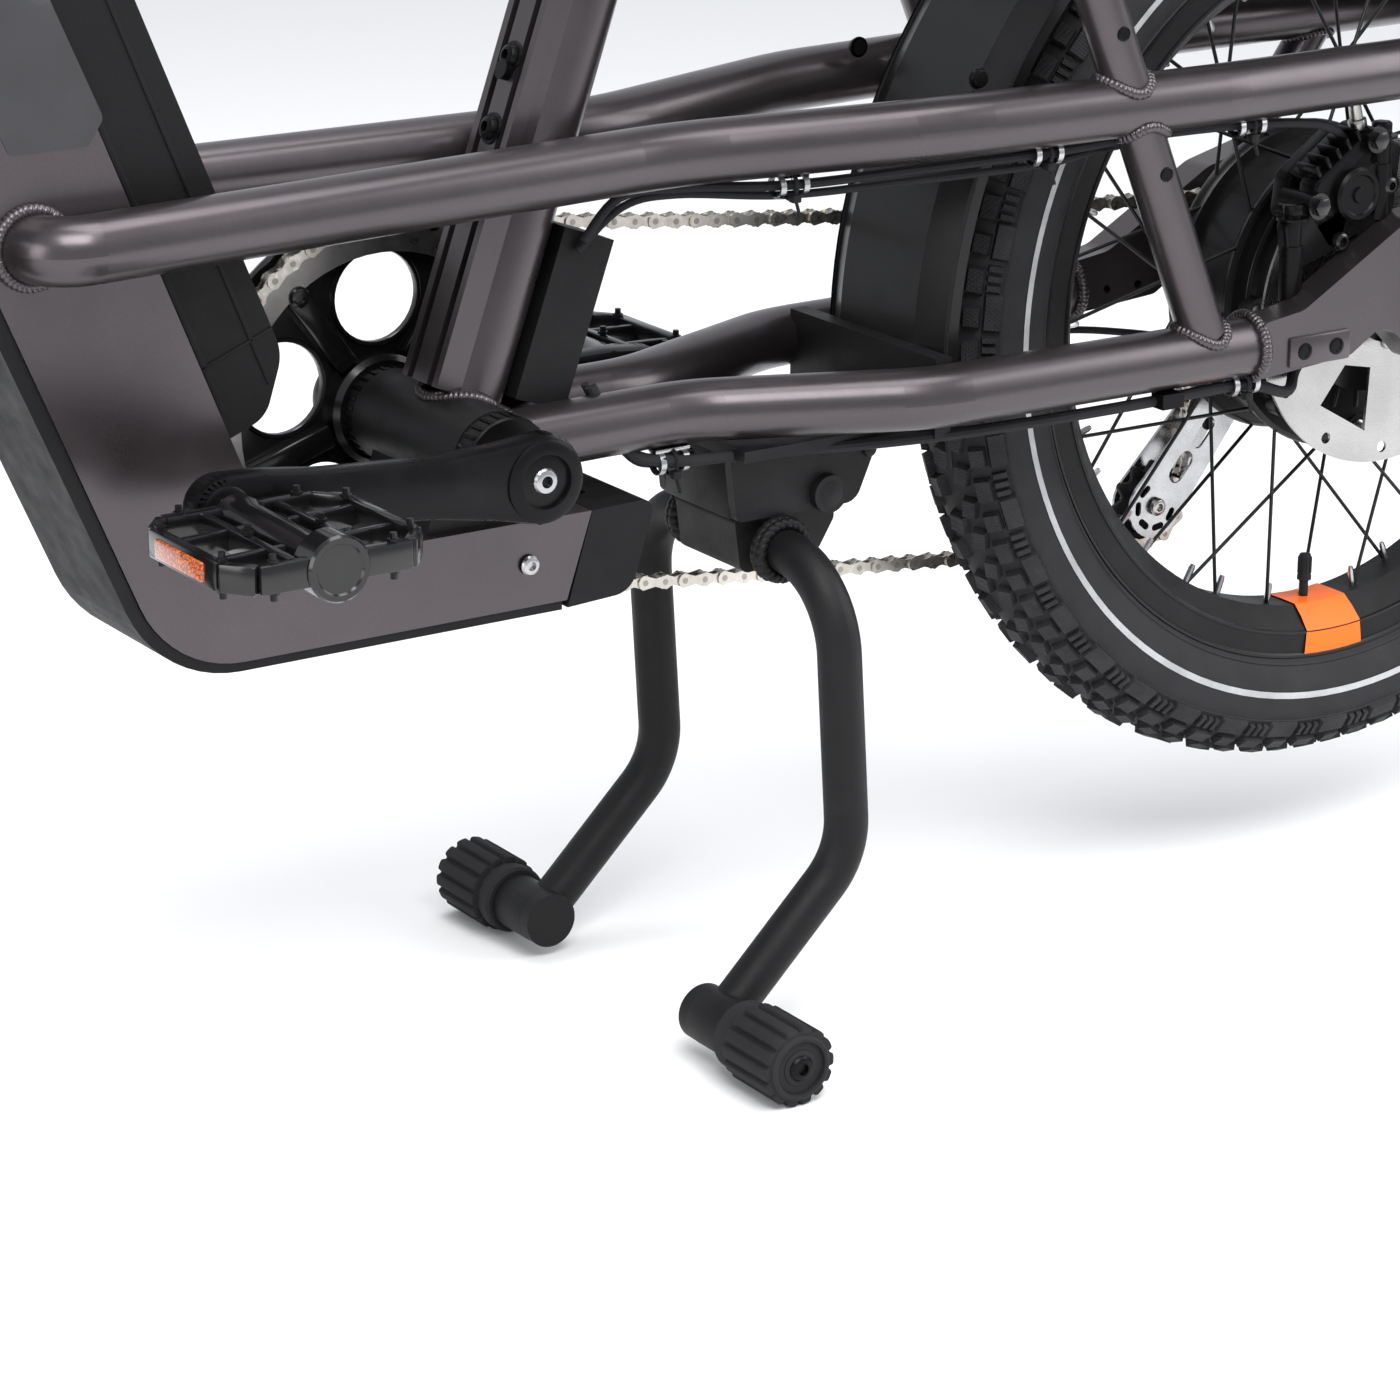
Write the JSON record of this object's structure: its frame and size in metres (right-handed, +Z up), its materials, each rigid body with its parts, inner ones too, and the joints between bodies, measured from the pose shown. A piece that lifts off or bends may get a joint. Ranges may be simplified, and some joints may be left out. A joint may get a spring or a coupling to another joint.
{
  "type": "cargo bicycle",
  "caption": "Long-tail cargo bicycle with small fat wheels, rear hub motor, sunk frame battery, twin side stays, rear rack and folding centre stand.",
  "frame": {"origin": "on the ground below the middle of the whole bicycle's length, on its middle plane", "axes": "+X towards the front wheel, +Y to the rider's left, +Z up; front wheel and stand feet on the ground, rear wheel lifted by the stand"},
  "size_m": [1.7808, 0.7064, 1.0574],
  "materials": {
    "frame_paint": "satin metallic",
    "black_metal": "satin",
    "black_alloy": "black anodised",
    "bare_alloy": "satin",
    "steel": "brushed",
    "plastic": "matt",
    "cell": "matt sleeve over steel",
    "lamp": "gloss",
    "rubber": "matt",
    "tyre": "matt",
    "cover": "soft grain"
  },
  "bodies": {
    "frame": {"down_tube": "frame_paint", "belly_guard": "plastic", "head_tube": "frame_paint", "top_tube": "frame_paint", "seat_tube": "frame_paint", "bb_shell": "frame_paint", "upper_stays": "frame_paint", "lower_stays": "frame_paint", "dropouts": "frame_paint", "rack_frame": "frame_paint", "rack_deck": "plastic", "stand_plate": "black_metal", "cable_covers": "plastic", "controller": "bare_alloy", "rear_fender": "plastic", "rear_caliper": "black_alloy", "rear_axle": "steel", "derailleur": "bare_alloy", "chain": "steel", "cable_run": "plastic", "tail_light": "lamp", "frame_hardware": "black_alloy"},
    "battery": {"battery_case": "plastic", "battery_cells": "cell"},
    "steering": {"fork_upper": "black_alloy", "stem": "black_alloy", "handlebar": "black_alloy", "grips": "rubber", "bar_controls": "plastic", "headlight": "plastic", "front_hoses": "plastic"},
    "fork_slider": {"fork_lowers": "black_alloy", "front_fender": "plastic", "front_caliper": "black_alloy"},
    "front_wheel": {"front_rim": "black_alloy", "front_tyre": "tyre", "front_spokes": "steel", "front_hub": "black_alloy", "front_rotor": "steel"},
    "rear_wheel": {"rear_rim": "black_alloy", "rear_tyre": "tyre", "rear_spokes": "steel", "motor_hub": "black_alloy", "rear_rotor": "steel"},
    "freewheel": {"cassette": "steel"},
    "guide_pulley_body": {"guide_pulley": "plastic"},
    "tension_pulley_body": {"tension_pulley": "plastic"},
    "crankset": {"crank_arms": "black_alloy", "chainring": "black_alloy"},
    "left_pedal": {"pedal_left": "black_alloy"},
    "right_pedal": {"pedal_right": "black_alloy"},
    "kickstand": {"kickstand_legs": "black_metal", "kickstand_feet": "rubber"},
    "seat": {"seat_post": "black_alloy", "saddle": "cover"},
    "seat_lever": {"clamp_lever": "black_alloy"},
    "left_brake_lever": {"brake_lever_left": "black_alloy"},
    "right_brake_lever": {"brake_lever_right": "black_alloy"},
    "throttle": {"thumb_throttle": "plastic"},
    "shifter": {"shift_lever": "plastic"}
  },
  "joints": [
    {"name": "steer", "type": "hinge", "parent": "frame", "child": "steering", "pos_m": [0.45651, 0, 0.62378], "axis": [-0.3173, 0, 0.9483], "range_deg": [-60, 60]},
    {"name": "fork_travel", "type": "slide", "parent": "steering", "child": "fork_slider", "axis": [-0.3173, 0, 0.9483], "range_m": [0, 0.05], "stiffness_N_per_m": 9000, "springref_m": -0.04},
    {"name": "front_wheel_spin", "type": "hinge", "parent": "fork_slider", "child": "front_wheel", "pos_m": [0.6185, 0, 0.272], "axis": [0, 1, 0], "continuous": true},
    {"name": "rear_wheel_spin", "type": "hinge", "parent": "frame", "child": "rear_wheel", "pos_m": [-0.5865, 0, 0.33], "axis": [0, 1, 0], "continuous": true},
    {"name": "freewheel_spin", "type": "hinge", "parent": "frame", "child": "freewheel", "pos_m": [-0.5865, 0, 0.33], "axis": [0, 1, 0], "continuous": true},
    {"name": "guide_pulley_spin", "type": "hinge", "parent": "frame", "child": "guide_pulley_body", "pos_m": [-0.5685, 0, 0.258], "axis": [0, 1, 0], "continuous": true},
    {"name": "tension_pulley_spin", "type": "hinge", "parent": "frame", "child": "tension_pulley_body", "pos_m": [-0.5165, 0, 0.198], "axis": [0, 1, 0], "continuous": true},
    {"name": "crank_spin", "type": "hinge", "parent": "frame", "child": "crankset", "pos_m": [-0.0215, 0, 0.325], "axis": [0, 1, 0], "continuous": true},
    {"name": "left_pedal_spin", "type": "hinge", "parent": "crankset", "child": "left_pedal", "pos_m": [0.14809, 0, 0.33686], "axis": [0, 1, 0], "continuous": true},
    {"name": "right_pedal_spin", "type": "hinge", "parent": "crankset", "child": "right_pedal", "pos_m": [-0.19109, 0, 0.31314], "axis": [0, 1, 0], "continuous": true},
    {"name": "kickstand_fold", "type": "hinge", "parent": "frame", "child": "kickstand", "pos_m": [-0.2265, 0, 0.273], "axis": [0, 1, 0], "range_deg": [0, 80]},
    {"name": "seat_height", "type": "slide", "parent": "frame", "child": "seat", "axis": [-0.3379, 0, 0.9412], "range_m": [-0.09, 0.06]},
    {"name": "seat_lever_swing", "type": "hinge", "parent": "frame", "child": "seat_lever", "pos_m": [-0.17957, 0, 0.69018], "axis": [0, 1, 0], "range_deg": [0, 90]},
    {"name": "battery_lift", "type": "slide", "parent": "frame", "child": "battery", "axis": [-0.9286, 0, 0.371], "range_m": [0, 0.012]},
    {"name": "left_brake_pull", "type": "hinge", "parent": "steering", "child": "left_brake_lever", "pos_m": [0.41076, 0.195, 1.036], "axis": [0, 0, 1], "range_deg": [0, 14], "stiffness_Nm_per_rad": 2, "springref_deg": -17.19},
    {"name": "right_brake_pull", "type": "hinge", "parent": "steering", "child": "right_brake_lever", "pos_m": [0.41076, -0.195, 1.036], "axis": [0, 0, -1], "range_deg": [0, 14], "stiffness_Nm_per_rad": 2, "springref_deg": -17.19},
    {"name": "throttle_press", "type": "hinge", "parent": "steering", "child": "throttle", "pos_m": [0.36609, 0.22819, 1.03959], "axis": [-0.3334, 0.9423, -0.029], "range_deg": [0, 40], "stiffness_Nm_per_rad": 0.3, "springref_deg": -17.19},
    {"name": "shift_click", "type": "hinge", "parent": "steering", "child": "shifter", "pos_m": [0.38076, -0.207, 1.016], "axis": [0, 0, 1], "range_deg": [0, 20], "stiffness_Nm_per_rad": 0.3, "springref_deg": -17.19}
  ],
  "couplings": [
    {"joint": "freewheel_spin", "follows": "crank_spin", "ratio": 2.4},
    {"joint": "guide_pulley_spin", "follows": "crank_spin", "ratio": -4.3636},
    {"joint": "tension_pulley_spin", "follows": "crank_spin", "ratio": 4.3636}
  ]
}
